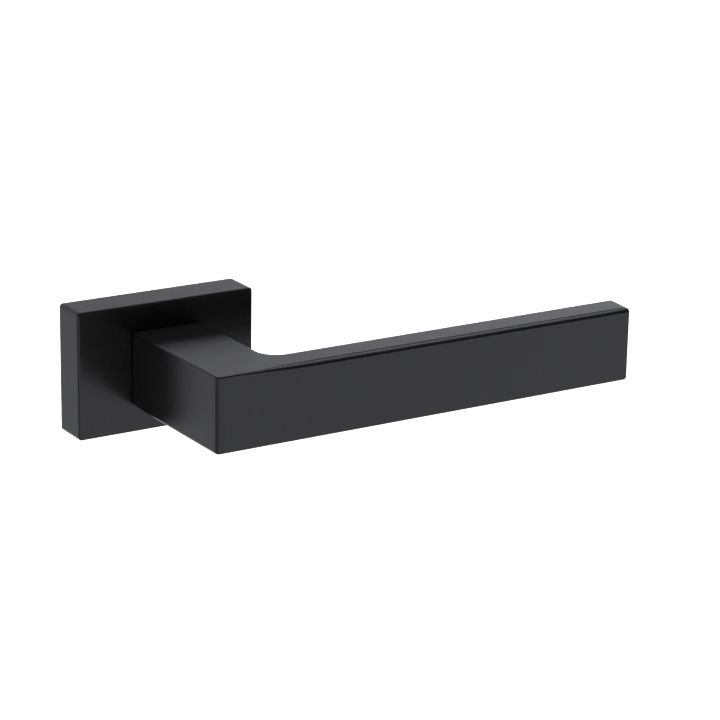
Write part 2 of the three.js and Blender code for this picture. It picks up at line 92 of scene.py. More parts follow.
# ---- Places and sizes taken from the frame, in millimetres ----
LEVER_LOW, LEVER_HIGH = box_mm("lever")
COVER_LOW, COVER_HIGH = box_mm("rose_cover")
PLATE_LOW, PLATE_HIGH = box_mm("mounting_plate")
BACKING_LOW, BACKING_HIGH = box_mm("backing_plate")
RING_LOW, RING_HIGH = box_mm("cover_ring")
BUSH_LOW, BUSH_HIGH = box_mm("hub_bush")
ROTOR_LOW, ROTOR_HIGH = box_mm("spring_rotor")
SPRING_LOW, SPRING_HIGH = box_mm("return_spring")
THRUST_LOW, THRUST_HIGH = box_mm("thrust_washer")
WAVE_LOW, WAVE_HIGH = box_mm("wave_washer")
CIRCLIP_LOW, CIRCLIP_HIGH = box_mm("retaining_ring")
SPINDLE_LOW, SPINDLE_HIGH = box_mm("spindle")
GRUB_LOW, GRUB_HIGH = box_mm("grub_screw")
CLIP_LOW, CLIP_HIGH = box_mm("cover_clip_right")

# ---- Shape details that a box can't give, in millimetres and degrees ----
NECK_WIDTH = 20.3
NECK_WIDTH_AT_ROSE = 21.3
BLADE_THICKNESS = 9.6
INNER_RADIUS = 6
FRONT_EDGE = 1.25  # the blade's top front edge
FRONT_STRETCH = 1.6  # how much further that edge reaches across the top than down the front
STRETCH_FADE = 6  # how far from the free end the stretch starts to fade
FRONT_BAND = 0.8  # how far behind the blade's front that edge starts to shrink
FRONT_GROWTH = (3, 30)  # from the neck's left side: where that edge starts to grow, and where it is full
END_BAND = 1  # width of the fuller edge at the free end
FINE_EDGE = 0.45  # the other top edges
LOWER_EDGE = 0.9
NECK_EDGE = 1.6  # the neck's long edges where it meets the rose
NECK_EDGE_LENGTH = 11  # how far from the rose they are still rounder than the rest
CORNER_RADIUS = 1.2  # the upright corner between the neck and the blade's front
END_FRONT_RADIUS = 1.3  # the free end's upright corners
END_BACK_RADIUS = 0.9
ROSE_CORNER_RADIUS = 1.0
COVER_EDGE = 0.6
COVER_RIM = 0.2  # rounding of the cover's rear rim
COVER_INNER_RADIUS = 0.6
COVER_WALL = 1.4
NECK_GAP = 0.6  # between the rose's face and the end of the neck
PLATE_WALL = 1.3
WEB = 1.2
SHANK_RADIUS = 8.5
TAIL_RADIUS = 7.5
TAIL_FLAT = 6.65
GROOVE_RADIUS = 6.75
GROOVE_GAP = 0.1  # between the retaining ring and its groove
EYE_RADIUS = 2  # the retaining ring's two eyes for pliers
EYE_HOLE_RADIUS = 0.8
EYE_X = 3
EYE_Z = 9
RING_OPENING = 2.2
CHAMBER_RADIUS = 13.5
CHAMBER_WALL = 1.7
HUB_RADIUS = 8.9
ROTOR_DISC = 1.0
ROTOR_GAP = 0.3  # between the rotor's disc and the chamber's wall
STOP_RADIUS = 12  # where the stop lugs and their windows begin
LUG_HALF_ANGLE = 9
LUG_ANGLES = (90, 270)
TAB_RADII = (11.9, 13.1)
TAB_ANGLES = (4.5, 19.5)  # past the spring's moving leg
RING_LIP = 0.5  # how far the cover ring's flange reaches past its sleeve
BUSH_SLEEVE = 9.6
BUSH_FLANGE = 0.4
FLANGE_SEAT = 0.5  # depth of the bush flange's seat
SEAT_GAP = 0.1  # round a pressed-in piece
FIXING_X = 19
FIXING_BOSS = 5
FIXING_HEAD = 3.8
FIXING_SHANK = 2
FIXING_GAP = 0.3  # round a fixing screw in its hole
PILOT_X = 14
PILOT_Z = 12.2
PILOT_BOSS = 2.6
PILOT_RADIUS = 1
PILOT_GAP = 0.2  # round a small screw in the backing plate
PLATE_CORNER = 0.8
BACKING_CORNER = 2.4
ARC_SLOT_RADII = (9.6, 12)  # the two curved slots of the backing plate
ARC_SLOT_HALF_ANGLE = 38
CLIP_SHEET = 0.35
WIRE = 1.4
COIL_RADIUS = 10.7
COIL_TURNS = 1.5
MOVING_LEG = 110  # angle of the spring's front leg
LEG_BEND = 7  # degrees that the bend between a leg and the coil takes
BEND_MIDDLE = (11.25, 1.6)  # radius of the bend's middle, and degrees from the leg
MOVING_LEG_RADII = (13.1, 12.5, 12.0)  # along the front leg, from its end inwards
FIXED_LEG_RADII = (12.0, 13.0, 14.6)  # along the back leg, outwards to its end
TURN_DEG = 45
RUNNING_GAP = 0.15

# ---- Places worked out from the others ----
NECK_END = COVER_LOW.y - NECK_GAP
BLADE_FRONT = LEVER_LOW.y
BLADE_BACK = BLADE_FRONT + BLADE_THICKNESS
FREE_END = LEVER_HIGH.x
WEB_BACK = PLATE_LOW.y + WEB
GRUB_Y = (GRUB_LOW.y + GRUB_HIGH.y) / 2
GRUB_RADIUS = (GRUB_HIGH.x - GRUB_LOW.x) / 2
FIXED_LEG = MOVING_LEG + COIL_TURNS * 360
FIXING_PLACES = [(side * FIXING_X, 0) for side in (-1, 1)]
PILOT_PLACES = [(sx * PILOT_X, sz * PILOT_Z) for sx, sz in ((-1, 1), (1, 1), (1, -1), (-1, -1))]


# ---- Outlines ----
def rounded(corners, arc_steps=6, side_steps=1):
    """Points and outward normals round a closed outline of (x, y, radius) corners, anticlockwise.

    side_steps is how many pieces each straight side has: one number, or one for the side after each corner.
    """
    count = len(corners)
    if isinstance(side_steps, int):
        side_steps = [side_steps] * count
    arcs = []
    for i, (x, y, radius) in enumerate(corners):
        corner = Vector((x, y))
        back = (Vector(corners[i - 1][:2]) - corner).normalized()
        ahead = (Vector(corners[(i + 1) % count][:2]) - corner).normalized()
        half = back.angle(ahead) / 2
        centre = corner + (back + ahead).normalized() * radius / math.sin(half)
        arm = corner + back * radius / math.tan(half) - centre
        turn = -1 if back.x * ahead.y > back.y * ahead.x else 1
        arc = []
        for k in range(arc_steps + 1):
            spoke = Matrix.Rotation(turn * (math.pi - 2 * half) * k / arc_steps, 2) @ arm
            arc.append((centre + spoke, spoke.normalized() * turn))
        arcs.append(arc)
    outline = []
    for i, arc in enumerate(arcs):
        outline += arc
        start, normal = arc[-1]
        end = arcs[(i + 1) % count][0][0]
        outline += [(start.lerp(end, k / side_steps[i]), normal) for k in range(1, side_steps[i])]
    return outline


def rectangle(half_width, half_height, radius, arc_steps=6, side_steps=1):
    signs = ((-1, -1), (1, -1), (1, 1), (-1, 1))
    corners = [(sx * half_width, sy * half_height, radius) for sx, sy in signs]
    return rounded(corners, arc_steps, side_steps)


def circle(radius, centre=(0, 0), count=48):
    outline = []
    for k in range(count):
        normal = Vector((math.cos(2 * math.pi * k / count), math.sin(2 * math.pi * k / count)))
        outline.append((Vector(centre) + normal * radius, normal))
    return outline


# ---- Meshes ----
def mesh_object(name, points, faces):
    """A mesh object from millimetre points, its normals facing out."""
    mesh = bpy.data.meshes.new(name)
    made = bmesh.new()
    corners = [made.verts.new(Vector(p) * MM) for p in points]
    for face in faces:
        made.faces.new([corners[i] for i in face])
    bmesh.ops.remove_doubles(made, verts=made.verts, dist=SAME_PLACE)
    bmesh.ops.recalc_face_normals(made, faces=made.faces)
    made.to_mesh(mesh)
    made.free()
    obj = bpy.data.objects.new(name, mesh)
    bpy.context.scene.collection.objects.link(obj)
    return obj


def skin(name, rings, loop=False):
    """Quads between rings of equally many points, closed into a loop or capped at both ends."""
    count = len(rings[0])
    points = [p for ring in rings for p in ring]
    faces = []
    for i in range(len(rings) if loop else len(rings) - 1):
        a, b = i * count, ((i + 1) % len(rings)) * count
        for k in range(count):
            n = (k + 1) % count
            faces.append((a + k, a + n, b + n, b + k))
    if not loop:
        faces.append(tuple(range(count)))
        faces.append(tuple(range(len(points) - count, len(points))))
    return mesh_object(name, points, faces)


def along_y(u, v, w):
    return (u, w, v)


def along_z(u, v, w):
    return (u, v, w)


def layer(outline, inset, y):
    """One ring of an outline, moved inwards and set at a station along Y."""
    return [along_y(*(p - n * inset), y) for p, n in outline]


def pillow(name, outline, low, high, edge, place=along_y, steps=4, high_edge=None):
    """An outline with thickness whose rims are rounded.

    An edge is a radius, or a function from a point of the outline to how far the rim reaches in and along.
    """

    def reaches(rim):
        return rim if callable(rim) else lambda p: (rim, rim)

    rings = []
    for level, rim, up in ((low, reaches(edge), 1), (high, reaches(high_edge or edge), -1)):
        for k in range(steps + 1):
            angle = math.pi / 2 * (k if up > 0 else steps - k) / steps
            rows = []
            for p, n in outline:
                inwards, along = rim(p)
                inner = p - n * inwards * (1 - math.sin(angle))
                rows.append(place(*inner, level + up * along * (1 - math.cos(angle))))
            rings.append(rows)
    return skin(name, rings)


def lathe(name, corners, count=ROUND_STEPS):
    """A closed profile of (radius, y, fillet) corners turned about the spindle's axis."""
    profile = rounded(corners, arc_steps=3)
    rings = []
    for k in range(count):
        angle = 2 * math.pi * k / count
        cos, sin = math.cos(angle), math.sin(angle)
        rings.append([(p.x * cos, p.y, p.x * sin) for p, _ in profile])
    return skin(name, rings, loop=True)


def ring(name, inner, outer, low, high, fillet, count=ROUND_STEPS):
    corners = [(inner, low, fillet), (outer, low, fillet), (outer, high, fillet), (inner, high, fillet)]
    return lathe(name, corners, count)


def spun(name, profile, centre=(0, 0), count=32):
    """A profile of (radius, y) points that starts and ends on its own axis, turned about it."""
    spokes = [2 * math.pi * k / count for k in range(count)]
    rings = []
    for radius, y in profile:
        reach = max(radius, POLE)
        row = [(centre[0] + reach * math.cos(a), y, centre[1] + reach * math.sin(a)) for a in spokes]
        rings.append(row)
    return skin(name, rings)


def rod(name, radius, low, high, edge, centre=(0, 0), count=48):
    return pillow(name, circle(radius, centre, count), low, high, edge, steps=2)


def drill(radius, low, high, centre=(0, 0), count=ROUND_STEPS):
    """A round cutter with sharp rims."""
    return rod("drill", radius, low, high, SHARP, centre, count)


def block(name, low, high):
    """A box between two corners, given as a skin of two rings."""
    (x0, y0, z0), (x1, y1, z1) = low, high
    flat = ((x0, z0), (x1, z0), (x1, z1), (x0, z1))
    return skin(name, [[(x, y, z) for x, z in flat] for y in (y0, y1)])


def tube(name, path, radius, sides=16):
    """A round wire along a path, a little thinner at its two ends."""
    points = [Vector(p) for p in path]
    tangents = []
    for i in range(len(points)):
        ahead = points[min(i + 1, len(points) - 1)]
        tangents.append((ahead - points[max(i - 1, 0)]).normalized())
    normal = tangents[0].orthogonal().normalized()
    rings = []
    for i, (point, tangent) in enumerate(zip(points, tangents)):
        normal = (normal - tangent * normal.dot(tangent)).normalized()
        side = tangent.cross(normal)
        scale = 0.75 if i in (0, len(points) - 1) else 1
        row = []
        for k in range(sides):
            angle = 2 * math.pi * k / sides
            spoke = normal * math.cos(angle) + side * math.sin(angle)
            row.append(point + spoke * radius * scale)
        rings.append(row)
    return skin(name, rings)


def sector(name, inner, outer, start, end, low, high, steps=24):
    """Part of a thick ring between two angles in degrees."""
    angles = [math.radians(start + (end - start) * k / steps) for k in range(steps + 1)]
    rim = [(outer * math.cos(a), outer * math.sin(a)) for a in angles]
    rim += [(inner * math.cos(a), inner * math.sin(a)) for a in reversed(angles)]
    return skin(name, [[(x, y, z) for x, z in rim] for y in (low, high)])


# ---- Changing meshes ----
def settle(obj):
    """Writes an object's modifiers into its mesh."""
    bpy.context.view_layer.update()
    evaluated = obj.evaluated_get(bpy.context.evaluated_depsgraph_get())
    mesh = bpy.data.meshes.new_from_object(evaluated)
    obj.modifiers.clear()
    obj.data = mesh
    return obj


def combine(obj, operation, tools):
    for tool in tools:
        modifier = obj.modifiers.new("combine", "BOOLEAN")
        modifier.operation = operation
        modifier.solver = "EXACT"
        modifier.object = tool
        settle(obj)
        bpy.data.objects.remove(tool)
    return obj


def fuse(obj, *tools):
    return combine(obj, "UNION", tools)


def cut(obj, *tools):
    return combine(obj, "DIFFERENCE", tools)


def clean(obj):
    """Merges the corners that a cut leaves closer than a micron, and drops the faces with no area."""
    made = bmesh.new()
    made.from_mesh(obj.data)
    bmesh.ops.remove_doubles(made, verts=made.verts, dist=MICRON)
    bmesh.ops.dissolve_degenerate(made, dist=MICRON, edges=made.edges)
    bmesh.ops.triangulate(made, faces=[face for face in made.faces if len(face.verts) > 4])
    bmesh.ops.dissolve_degenerate(made, dist=MICRON, edges=made.edges)
    made.to_mesh(obj.data)
    made.free()


def shade(obj, angle=CREASE):
    """Smooth shading that keeps large flat faces flat."""
    clean(obj)
    for polygon in obj.data.polygons:
        polygon.use_smooth = True
    obj.data.set_sharp_from_angle(angle=math.radians(angle))
    modifier = obj.modifiers.new("flat faces", "WEIGHTED_NORMAL")
    modifier.keep_sharp = True
    modifier.weight = 80
    return settle(obj)


# ---- Materials ----
NOISE_LEVELS = (0.3, 0.7)  # where most of a noise lies


def map_range(tree, value, spread, levels):
    """The value mapped from one range to another, and held at its ends."""
    node = tree.nodes.new("ShaderNodeMapRange")
    for socket, number in zip(("From Min", "From Max", "To Min", "To Max"), (*spread, *levels)):
        node.inputs[socket].default_value = number
    tree.links.new(value, node.inputs["Value"])
    return node.outputs["Result"]


class Shader:
    """A Principled material whose textures work in object space, in metres."""

    def __init__(self, name, **constants):
        self.material = bpy.data.materials.new(name)
        self.material.use_nodes = True
        self.tree = self.material.node_tree
        self.surface = self.tree.nodes["Principled BSDF"]
        self.place = self.tree.nodes.new("ShaderNodeTexCoord").outputs["Object"]
        for socket, value in constants.items():
            self.surface.inputs[socket.replace("_", " ")].default_value = value

    def noise(self, size_mm, detail=3):
        noise = self.tree.nodes.new("ShaderNodeTexNoise")
        noise.inputs["Scale"].default_value = 1 / (size_mm * MM)
        noise.inputs["Detail"].default_value = detail
        self.tree.links.new(self.place, noise.inputs["Vector"])
        return noise.outputs["Fac"]

    def ramp(self, value, low, high):
        """A noise's middle levels spread from low to high."""
        return map_range(self.tree, value, NOISE_LEVELS, (low, high))

    def mix(self, factor, first, second):
        mix = self.tree.nodes.new("ShaderNodeMix")
        mix.data_type = "RGBA"
        self.tree.links.new(factor, mix.inputs["Factor"])
        mix.inputs["A"].default_value = (*first, 1)
        mix.inputs["B"].default_value = (*second, 1)
        return mix.outputs["Result"]

    def drive(self, socket, value):
        self.tree.links.new(value, self.surface.inputs[socket])

    def bump(self, height, depth_mm):
        """A height that bends the normal, on top of any bump before it."""
        bump = self.tree.nodes.new("ShaderNodeBump")
        bump.inputs["Distance"].default_value = depth_mm * MM
        before = self.surface.inputs["Normal"].links
        if before:
            self.tree.links.new(before[0].from_socket, bump.inputs["Normal"])
        self.tree.links.new(height, bump.inputs["Height"])
        self.tree.links.new(bump.outputs["Normal"], self.surface.inputs["Normal"])


def black_coat():
    """Satin black coating: near-black, with a fine orange peel and slightly uneven gloss."""
    coat = Shader("satin_black_coat", Metallic=0.0, IOR=1.5)
    coat.drive("Base Color", coat.mix(coat.noise(6), (0.0022, 0.0022, 0.0024), (0.0029, 0.0029, 0.0032)))
    coat.drive("Roughness", coat.ramp(coat.noise(5, 4), 0.24, 0.275))
    coat.bump(coat.noise(0.3, 2), 0.0006)
    return coat.material


def cast_zinc():
    """Die-cast zinc: matt grey skin with flow marks and a fine grain."""
    zinc = Shader("cast_zinc", Metallic=0.85)
    zinc.drive("Base Color", zinc.mix(zinc.noise(5, 5), (0.36, 0.37, 0.39), (0.50, 0.51, 0.53)))
    zinc.drive("Roughness", zinc.ramp(zinc.noise(1.5, 4), 0.38, 0.55))
    zinc.bump(zinc.noise(0.35, 3), 0.02)
    zinc.bump(zinc.noise(3, 3), 0.03)
    return zinc.material


def plated_steel():
    """Zinc-plated steel: bright, with a faint grain and cloudy plating."""
    steel = Shader("plated_steel", Metallic=1.0)
    steel.drive("Base Color", steel.mix(steel.noise(3, 4), (0.56, 0.58, 0.61), (0.70, 0.71, 0.71)))
    steel.drive("Roughness", steel.ramp(steel.noise(0.6, 4), 0.34, 0.46))
    steel.bump(steel.noise(0.3, 3), 0.001)
    return steel.material


def spring_steel():
    """Oiled spring steel: dark grey-brown with a satin sheen."""
    steel = Shader("spring_steel", Metallic=0.9)
    steel.drive("Base Color", steel.mix(steel.noise(2, 4), (0.10, 0.098, 0.096), (0.20, 0.195, 0.19)))
    steel.drive("Roughness", steel.ramp(steel.noise(0.8, 4), 0.28, 0.45))
    steel.bump(steel.noise(0.3, 2), 0.006)
    return steel.material


def white_acetal():
    """Moulded acetal: off-white, with a fine satin skin."""
    acetal = Shader("moulded_acetal")
    acetal.drive("Base Color", acetal.mix(acetal.noise(4), (0.70, 0.68, 0.63), (0.80, 0.79, 0.75)))
    acetal.drive("Roughness", acetal.ramp(acetal.noise(1), 0.38, 0.5))
    acetal.bump(acetal.noise(0.3, 2), 0.008)
    return acetal.material


def black_nylon():
    """Moulded black nylon with a dull, slightly grained skin."""
    nylon = Shader("black_nylon")
    nylon.drive("Base Color", nylon.mix(nylon.noise(3), (0.010, 0.010, 0.011), (0.018, 0.018, 0.020)))
    nylon.drive("Roughness", nylon.ramp(nylon.noise(0.8), 0.5, 0.65))
    nylon.bump(nylon.noise(0.25, 2), 0.012)
    return nylon.material


# ---- Handing pieces to the frame ----
def body_of(node):
    bodies = frame["record"]["behaviour"]["bodies"]
    return next(body for body, nodes in bodies.items() if node in nodes)


def stand_for(node, obj, material):
    """The finished piece takes a CAD node's place and finish. The spring is attached to no body, its
    placement baked into its mesh.
    """
    obj.name = node + "_look"
    obj.data.name = obj.name
    obj.data.materials.clear()
    obj.data.materials.append(material)
    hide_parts(node)
    if node == "return_spring":
        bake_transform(obj)
    else:
        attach(obj, body_of(node))


# ---- The lever and what turns with it ----
def smoothstep(value, start, end):
    t = min(max((value - start) / (end - start), 0), 1)
    return t * t * (3 - 2 * t)


def near_rose(point):
    """How far the neck's long edges have grown: 0 towards the blade and 1 at the rose."""
    return min(max(1 - (NECK_END - point.y) / NECK_EDGE_LENGTH, 0), 1) ** 2


def top_edge(point):
    """How far the top rim reaches in and down: fuller along the blade's front and round the free end."""
    start, full = (LEVER_LOW.x + distance for distance in FRONT_GROWTH)
    on_front = 1 - smoothstep(point.y, BLADE_FRONT + FRONT_BAND, BLADE_FRONT + 3 * FRONT_BAND)
    on_front *= smoothstep(point.x, start, full)
    on_end = smoothstep(point.x, FREE_END - END_BAND, FREE_END)
    on_end *= 1 - smoothstep(point.y, BLADE_FRONT + END_FRONT_RADIUS, BLADE_BACK - END_BACK_RADIUS)
    blade = FINE_EDGE + (FRONT_EDGE - FINE_EDGE) * max(on_front, on_end)
    edge = blade + (NECK_EDGE - FINE_EDGE) * near_rose(point)
    stretched = on_front * (1 - smoothstep(point.x, FREE_END - STRETCH_FADE, FREE_END - END_FRONT_RADIUS))
    return edge * (1 + (FRONT_STRETCH - 1) * stretched), edge


def bottom_edge(point):
    """How far the bottom rim reaches in and up."""
    edge = LOWER_EDGE + (NECK_EDGE - LOWER_EDGE) * near_rose(point)
    return edge, edge


def tail_flats(half, end):
    """The two slabs outside a tail's flats."""
    reach = CHAMBER_RADIUS
    start = WEB_BACK + SHARP
    return [
        block("above", (-reach, start, half), (reach, end, reach)),
        block("below", (-reach, start, -reach), (reach, end, -half)),
    ]


def turned_shank():
    """The round shank that runs in the bush, and the slimmer tail with its flats and its ring's groove."""
    groove_front, groove_back = CIRCLIP_LOW.y - GROOVE_GAP, CIRCLIP_HIGH.y + GROOVE_GAP
    start, end = NECK_END - 2 * PAST, LEVER_HIGH.y
    shoulder, chamfer = 0.2, 0.3
    profile = [
        (SHANK_RADIUS, start), (SHANK_RADIUS, WEB_BACK - shoulder), (SHANK_RADIUS - shoulder, WEB_BACK),
        (TAIL_RADIUS, WEB_BACK), (TAIL_RADIUS, groove_front), (GROOVE_RADIUS, groove_front),
        (GROOVE_RADIUS, groove_back), (TAIL_RADIUS, groove_back), (TAIL_RADIUS, end - chamfer),
        (TAIL_RADIUS - chamfer, end),
    ]
    return cut(spun("shank", profile, count=ROUND_STEPS), *tail_flats(TAIL_FLAT, end + PAST))


def lever():
    """The grip is drawn past its end at the rose and cut flat there, so that the end has a clean rim."""
    half, at_rose, spare = NECK_WIDTH / 2, NECK_WIDTH_AT_ROSE / 2, 5
    beyond = at_rose + (at_rose - half) * spare / (NECK_END - BLADE_FRONT)
    cut_off = 2.5  # radius of the two corners that the cut takes away
    outline = rounded(
        [
            (-beyond, NECK_END + spare, cut_off),
            (-half, BLADE_FRONT, CORNER_RADIUS),
            (FREE_END, BLADE_FRONT, END_FRONT_RADIUS),
            (FREE_END, BLADE_BACK, END_BACK_RADIUS),
            (half, BLADE_BACK, INNER_RADIUS),
            (beyond, NECK_END + spare, cut_off),
        ],
        arc_steps=10,
        side_steps=[40, 64, 12, 48, 32, 8],
    )
    grip = pillow(
        "grip", outline, LEVER_LOW.z, LEVER_HIGH.z, bottom_edge, place=along_z, steps=8, high_edge=top_edge
    )
    reach = LEVER_HIGH.z + spare
    cut(grip, block("past_the_end", (-reach, NECK_END, -reach), (reach, NECK_END + 2 * spare, reach)))
    side = SPINDLE_HIGH.x + SEAT_GAP
    square = block("square", (-side, SPINDLE_LOW.y - PAST, -side), (side, LEVER_HIGH.y + PAST, side))
    hole_outline = circle(GRUB_RADIUS + RUNNING_GAP, (0, GRUB_Y))
    hole = pillow("hole", hole_outline, LEVER_LOW.z - PAST, 0, SHARP, place=along_z, steps=1)
    return shade(cut(fuse(grip, turned_shank()), square, hole))


def spindle():
    """Square bar with rounded corners and chamfered ends."""
    half, corner, chamfer = SPINDLE_HIGH.x, 0.45, 0.4
    outline = rectangle(half, half, corner, arc_steps=5)
    return shade(pillow("spindle", outline, SPINDLE_LOW.y, SPINDLE_HIGH.y, chamfer, steps=1))


def grub_screw():
    """Socket set screw under the neck, standing along Z: turned along Y first, then tipped up."""
    length = GRUB_HIGH.z - GRUB_LOW.z
    chamfer = 0.25
    root = GRUB_RADIUS - chamfer
    socket_radius, socket_depth = 1.73, 2.8
    profile = [
        (0, 0), (root - chamfer, 0), (root, chamfer), (root, length - 0.9),
        (root - 0.65, length - 0.2), (root - 0.85, length), (0, length),
    ]
    screw = turned_screw("grub", profile, depth=0.35, pitch=1.0, start=0.3, end=length - 1.0)
    hexagon = circle(socket_radius, count=6)
    cut(screw, pillow("socket", hexagon, -PAST, socket_depth, SHARP, steps=1))
    upright = Matrix(((1, 0, 0, 0), (0, 0, 1, GRUB_Y * MM), (0, 1, 0, GRUB_LOW.z * MM), (0, 0, 0, 1)))
    screw.data.transform(upright)
    screw.data.flip_normals()
    return shade(screw, CUT_CREASE)


def spring_rotor():
    """Cast rotor on the shank's flats: disc, hub, stop lugs and the tab that winds the spring."""
    front, hub_back = ROTOR_LOW.y, ROTOR_HIGH.y
    back = front + ROTOR_DISC
    rotor = rod("disc", CHAMBER_RADIUS - ROTOR_GAP, front, back, edge=0.15, count=ROUND_STEPS)
    hub = rod("hub", HUB_RADIUS, front, hub_back, edge=0.3, count=ROUND_STEPS)
    tab_start, tab_end = (MOVING_LEG + angle for angle in TAB_ANGLES)
    tab = sector("tab", *TAB_RADII, tab_start, tab_end, back - 0.5, hub_back - 0.2)
    lugs = []
    for middle in LUG_ANGLES:
        start, end = middle - LUG_HALF_ANGLE, middle + LUG_HALF_ANGLE
        lugs.append(sector("lug", STOP_RADIUS, ROTOR_HIGH.z, start, end, front, back))
    bore = drill(TAIL_RADIUS + SEAT_GAP, front - PAST, PAST)
    cut(bore, *tail_flats(TAIL_FLAT + SEAT_GAP, 2 * PAST))
    return shade(cut(fuse(rotor, hub, tab, *lugs), bore))


def thrust_washer():
    inner, outer = TAIL_RADIUS + RUNNING_GAP, THRUST_HIGH.x
    return shade(ring("thrust", inner, outer, THRUST_LOW.y, THRUST_HIGH.y, fillet=0.12))


def wave_washer():
    """A thin ring with three waves round it."""
    middle = (WAVE_LOW.y + WAVE_HIGH.y) / 2
    sheet, height, waves = 0.24, 0.075, 3
    inner, outer = TAIL_RADIUS + RUNNING_GAP, WAVE_HIGH.x
    washer = ring("wave", inner, outer, middle - sheet / 2, middle + sheet / 2, fillet=0.06, count=144)
    for vertex in washer.data.vertices:
        vertex.co.y += height * MM * math.cos(waves * math.atan2(vertex.co.z, vertex.co.x))
    return shade(washer)


def retaining_ring():
    """Open ring with two eyes for pliers, its gap at the top."""
    front, back = CIRCLIP_LOW.y, CIRCLIP_HIGH.y
    half_opening, edge = RING_OPENING / 2, 0.08
    thinner = 0.02  # the eyes' faces lie just inside the ring's
    places = [(side * EYE_X, EYE_Z) for side in (-1, 1)]
    clip = ring("clip", GROOVE_RADIUS + GROOVE_GAP, CIRCLIP_HIGH.x, front, back, edge)
    eyes = [rod("eye", EYE_RADIUS, front + thinner, back - thinner, edge, place) for place in places]
    gap = block("gap", (-half_opening, front - PAST, 0), (half_opening, back + PAST, 2 * EYE_Z))
    holes = [drill(EYE_HOLE_RADIUS, front - PAST, back + PAST, place, HOLE_STEPS) for place in places]
    return shade(cut(fuse(clip, *eyes), gap, *holes))


# ---- The rose ----
def rose_cover():
    """The shell as one skin: out round its front edge, in through the round hole and back inside."""
    front, back = COVER_LOW.y, COVER_HIGH.y
    inner_front = front + COVER_WALL
    inner_width, inner_height = COVER_HIGH.x - COVER_WALL, COVER_HIGH.z - COVER_WALL
    arc_steps, side_steps = 8, [36, 24, 36, 24]
    outside = rectangle(COVER_HIGH.x, COVER_HIGH.z, ROSE_CORNER_RADIUS, arc_steps, side_steps)
    inside = rectangle(inner_width, inner_height, COVER_INNER_RADIUS, arc_steps, side_steps)
    hole = RING_HIGH.x - RING_LIP + 0.05  # just clear of the ring's sleeve
    hole_rim = (0.2, 0), (0.06, 0.06), (0, 0.2)  # how far out and how deep its rounding goes
    fillet = 0.3  # inside, between the front and the walls

    def hole_ring(radius, y):
        spokes = [math.atan2(p.y, p.x) for p, _ in outside]
        return [(radius * math.cos(a), y, radius * math.sin(a)) for a in spokes]

    def outer_ring(angle, radius, y, direction):
        inset, rise = radius * (1 - math.cos(angle)), radius * (1 - math.sin(angle))
        return layer(outside, inset, y + direction * rise)

    quarter = [math.pi / 2 * k / 8 for k in range(9)]
    rings = [outer_ring(a, COVER_RIM, back, -1) for a in reversed(quarter[::2])]
    rings += [outer_ring(a, COVER_EDGE, front, 1) for a in quarter]
    rings += [hole_ring(hole + out, front + deep) for out, deep in hole_rim]
    rings.append(hole_ring(hole, inner_front))
    rings.append(layer(inside, fillet, inner_front))
    rings.append(layer(inside, 0, inner_front + fillet))
    rings.append(layer(inside, 0, back))
    return shade(skin("cover", rings, loop=True))


def cover_ring():
    """Nylon ring: a flange under the neck and a sleeve in the cover's hole."""
    bore = SHANK_RADIUS + RUNNING_GAP
    sleeve = RING_HIGH.x - RING_LIP
    lip_back = COVER_LOW.y - 0.02  # just clear of the cover's face
    profile = [
        (bore, RING_LOW.y, 0.1), (RING_HIGH.x, RING_LOW.y, 0.12), (RING_HIGH.x, lip_back, 0.1),
        (sleeve, lip_back, 0.05), (sleeve, RING_HIGH.y, 0.15), (bore, RING_HIGH.y, 0.15),
    ]
    return shade(lathe("ring", profile))


def mounting_plate():
    """Cast plate: a tray with screw bosses and the walled spring chamber round the hub."""
    front, back = PLATE_LOW.y, PLATE_HIGH.y
    wall_back = BACKING_LOW.y
    half_width, half_height = PLATE_HIGH.x, PLATE_HIGH.z
    plate = pillow("plate", rectangle(half_width, half_height, PLATE_CORNER), front, back, 0.2)
    hollow = rectangle(half_width - PLATE_WALL, half_height - PLATE_WALL, radius=1)
    cut(plate, pillow("hollow", hollow, WEB_BACK, back + PAST, 0.4))
    foot, wall = front + SINK, CHAMBER_RADIUS + CHAMBER_WALL
    solids = [rod("fixing_boss", FIXING_BOSS, foot, back, 0.25, place) for place in FIXING_PLACES]
    solids += [rod("pilot_boss", PILOT_BOSS, foot, wall_back, 0.2, place) for place in PILOT_PLACES]
    solids.append(rod("chamber_wall", wall, foot, wall_back, edge=0.2, count=ROUND_STEPS))
    solids += ribs(front, back)
    fuse(plate, *solids)
    voids = [drill(CHAMBER_RADIUS, WEB_BACK, wall_back + PAST)]
    voids.append(drill(BUSH_HIGH.x + SEAT_GAP, front - PAST, front + FLANGE_SEAT))
    voids.append(drill(BUSH_SLEEVE + SEAT_GAP, front - PAST, WEB_BACK + PAST))
    voids += [fixing_hole(place) for place in FIXING_PLACES]
    voids += [clip_pocket(side) for side in (-1, 1)]
    voids += [drill(PILOT_RADIUS, WEB_BACK + PAST, PAST, place, HOLE_STEPS) for place in PILOT_PLACES]
    voids += [stop_window(middle) for middle in LUG_ANGLES]
    voids.append(leg_slot(wall_back))
    return shade(cut(plate, *voids), CUT_CREASE)


def ribs(front, back):
    """Short stiffening ribs from the fixing bosses to the plate's end walls."""
    offset, half_rib = 3, 0.45
    rib_start, rib_end = FIXING_X + 3.5, PLATE_HIGH.x - 0.8
    rib_front, rib_back = front + 0.3, back - 1.2
    made = []
    for side in (-1, 1):
        x0, x1 = sorted((side * rib_start, side * rib_end))
        for z in (-offset, offset):
            made.append(block("rib", (x0, rib_front, z - half_rib), (x1, rib_back, z + half_rib)))
    return made


